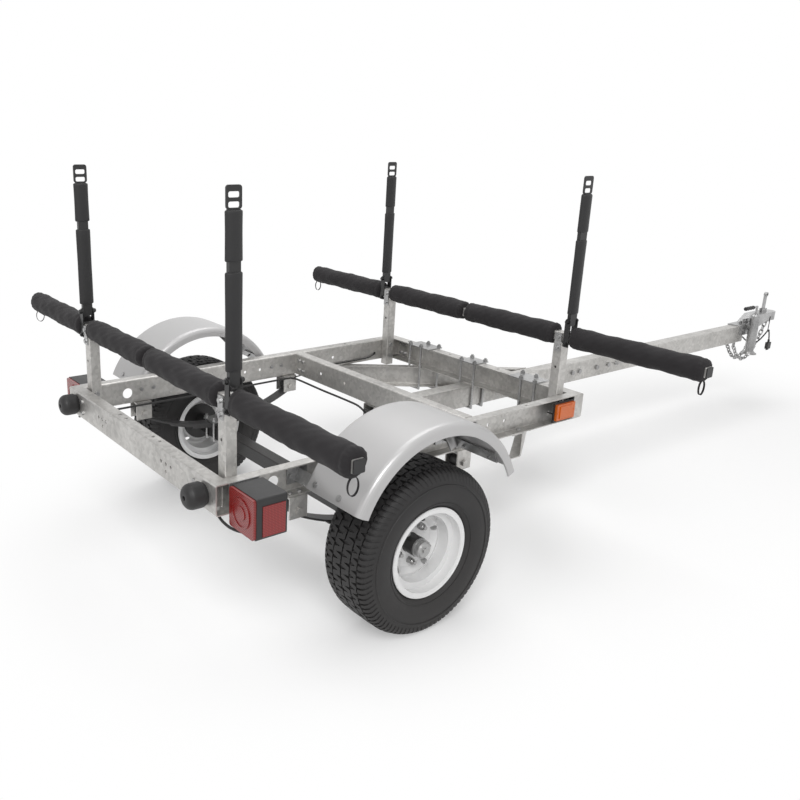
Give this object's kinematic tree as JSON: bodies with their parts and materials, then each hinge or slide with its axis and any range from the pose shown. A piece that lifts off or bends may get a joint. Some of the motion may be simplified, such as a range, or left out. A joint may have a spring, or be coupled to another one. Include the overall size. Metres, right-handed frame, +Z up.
{
  "type": "kayak trailer",
  "caption": "Galvanised channel-frame kayak trailer with padded load bars, fold-down posts, leaf-sprung axle, round fenders, lamps, ball coupler, chains and swivel jack.",
  "frame": {"origin": "middle of the overall length and width, on the ground under the trailer", "axes": "+Y forward to the coupler, +X to the right side of the trailer, +Z up"},
  "size_m": [1.989, 3.9694, 1.289],
  "materials": {
    "galvanised": "hot-dip galvanised, dull spangle",
    "zinc_plate": "bright zinc plate",
    "silver_paint": "satin silver powder coat",
    "black_paint": "semi-matte black powder coat",
    "pad_fabric": "coarse black woven cover over foam",
    "foam_sleeve": "closed-cell foam, matte",
    "black_rubber": "matte",
    "black_plastic": "fine grain",
    "red_lens": "clear moulded, prismatic inside",
    "amber_lens": "clear moulded, prismatic inside",
    "tyre": "treaded rubber",
    "rim_white": "gloss white-silver",
    "spring_steel": "dark painted spring steel"
  },
  "bodies": {
    "frame": {"rear_beam": "galvanised", "rail_left": "galvanised", "rail_right": "galvanised", "middle_cross_member": "galvanised", "front_cross_member": "galvanised", "corner_brackets": "galvanised", "tongue_rear": "galvanised", "tongue_front": "galvanised", "tongue_sleeve": "galvanised", "tongue_braces": "galvanised", "brace_u_bolts": "zinc_plate", "frame_bolts": "zinc_plate", "uprights": "galvanised", "bar_saddles": "zinc_plate", "load_bar_rear": "galvanised", "load_bar_front": "galvanised", "bar_end_plugs": "black_plastic", "pads_rear": "pad_fabric", "pads_front": "pad_fabric", "fender_left": "silver_paint", "fender_right": "silver_paint", "side_brackets": "zinc_plate", "lamp_housings": "black_plastic", "tail_lamp_lenses": "red_lens", "side_marker_lenses": "amber_lens", "bump_stops": "black_rubber", "spring_hangers": "galvanised", "wiring_harness": "black_rubber", "tow_lead": "black_rubber", "tow_plug": "black_plastic", "coupler_body": "zinc_plate", "safety_chains": "zinc_plate", "jack_bracket": "zinc_plate", "post_clamps": "black_paint", "tongue_pins": "zinc_plate"},
    "axle": {"axle_beam": "black_paint", "axle_u_bolts": "zinc_plate", "leaf_springs": "spring_steel"},
    "wheel_left": {"tyre_left": "tyre", "rim_left": "rim_white", "hub_left": "black_paint", "wheel_hardware_left": "zinc_plate"},
    "wheel_right": {"tyre_right": "tyre", "rim_right": "rim_white", "hub_right": "black_paint", "wheel_hardware_right": "zinc_plate"},
    "lever": {"coupler_lever": "zinc_plate"},
    "jaw": {"coupler_jaw": "zinc_plate"},
    "jack": {"jack_tube": "zinc_plate"},
    "jack_foot": {"jack_leg": "zinc_plate"},
    "crank": {"jack_crank": "zinc_plate", "jack_grip": "black_plastic"},
    "post_rear_left_body": {"post_rear_left": "black_paint", "sleeves_rear_left": "foam_sleeve"},
    "post_rear_right_body": {"post_rear_right": "black_paint", "sleeves_rear_right": "foam_sleeve"},
    "post_front_left_body": {"post_front_left": "black_paint", "sleeves_front_left": "foam_sleeve"},
    "post_front_right_body": {"post_front_right": "black_paint", "sleeves_front_right": "foam_sleeve"}
  },
  "joints": [
    {"name": "suspension", "type": "slide", "parent": "frame", "child": "axle", "axis": [0, 0, 1], "range_m": [-0.03, 0.04], "stiffness_N_per_m": 60000, "springref_m": -0.01833, "deforming": ["leaf_springs"]},
    {"name": "wheel_left_spin", "type": "hinge", "parent": "axle", "child": "wheel_left", "pos_m": [-0.635, -1.3397, 0.2605], "axis": [1, 0, 0], "continuous": true},
    {"name": "wheel_right_spin", "type": "hinge", "parent": "axle", "child": "wheel_right", "pos_m": [0.635, -1.3397, 0.2605], "axis": [1, 0, 0], "continuous": true},
    {"name": "coupler_lever_close", "type": "hinge", "parent": "frame", "child": "lever", "pos_m": [0, 1.8893, 0.5], "axis": [1, 0, 0], "range_deg": [0, 78]},
    {"name": "coupler_jaw_clamp", "type": "hinge", "parent": "frame", "child": "jaw", "pos_m": [0, 1.8993, 0.462], "axis": [1, 0, 0], "range_deg": [0, 12]},
    {"name": "jack_swivel", "type": "hinge", "parent": "frame", "child": "jack", "pos_m": [0.073, 1.6653, 0.445], "axis": [-1, 0, 0], "range_deg": [0, 90]},
    {"name": "jack_crank_turn", "type": "hinge", "parent": "jack", "child": "crank", "pos_m": [0.073, 1.6653, 0.52], "axis": [0, 0, 1], "range_deg": [0, 3740]},
    {"name": "jack_leg_lower", "type": "slide", "parent": "jack", "child": "jack_foot", "axis": [0, 0, -1], "range_m": [0, 0.13]},
    {"name": "post_rear_left_fold", "type": "hinge", "parent": "frame", "child": "post_rear_left_body", "pos_m": [-0.485, -1.8547, 0.8], "axis": [0, -1, 0], "range_deg": [0, 88]},
    {"name": "post_rear_right_fold", "type": "hinge", "parent": "frame", "child": "post_rear_right_body", "pos_m": [0.485, -1.8547, 0.8], "axis": [0, 1, 0], "range_deg": [0, 88]},
    {"name": "post_front_left_fold", "type": "hinge", "parent": "frame", "child": "post_front_left_body", "pos_m": [-0.485, -0.4897, 0.8], "axis": [0, -1, 0], "range_deg": [0, 88]},
    {"name": "post_front_right_fold", "type": "hinge", "parent": "frame", "child": "post_front_right_body", "pos_m": [0.485, -0.4897, 0.8], "axis": [0, 1, 0], "range_deg": [0, 88]}
  ],
  "couplings": [
    {"joint": "coupler_jaw_clamp", "follows": "coupler_lever_close", "ratio": 0.15},
    {"joint": "jack_leg_lower", "follows": "jack_crank_turn", "m_per_rad": 0.00198}
  ]
}
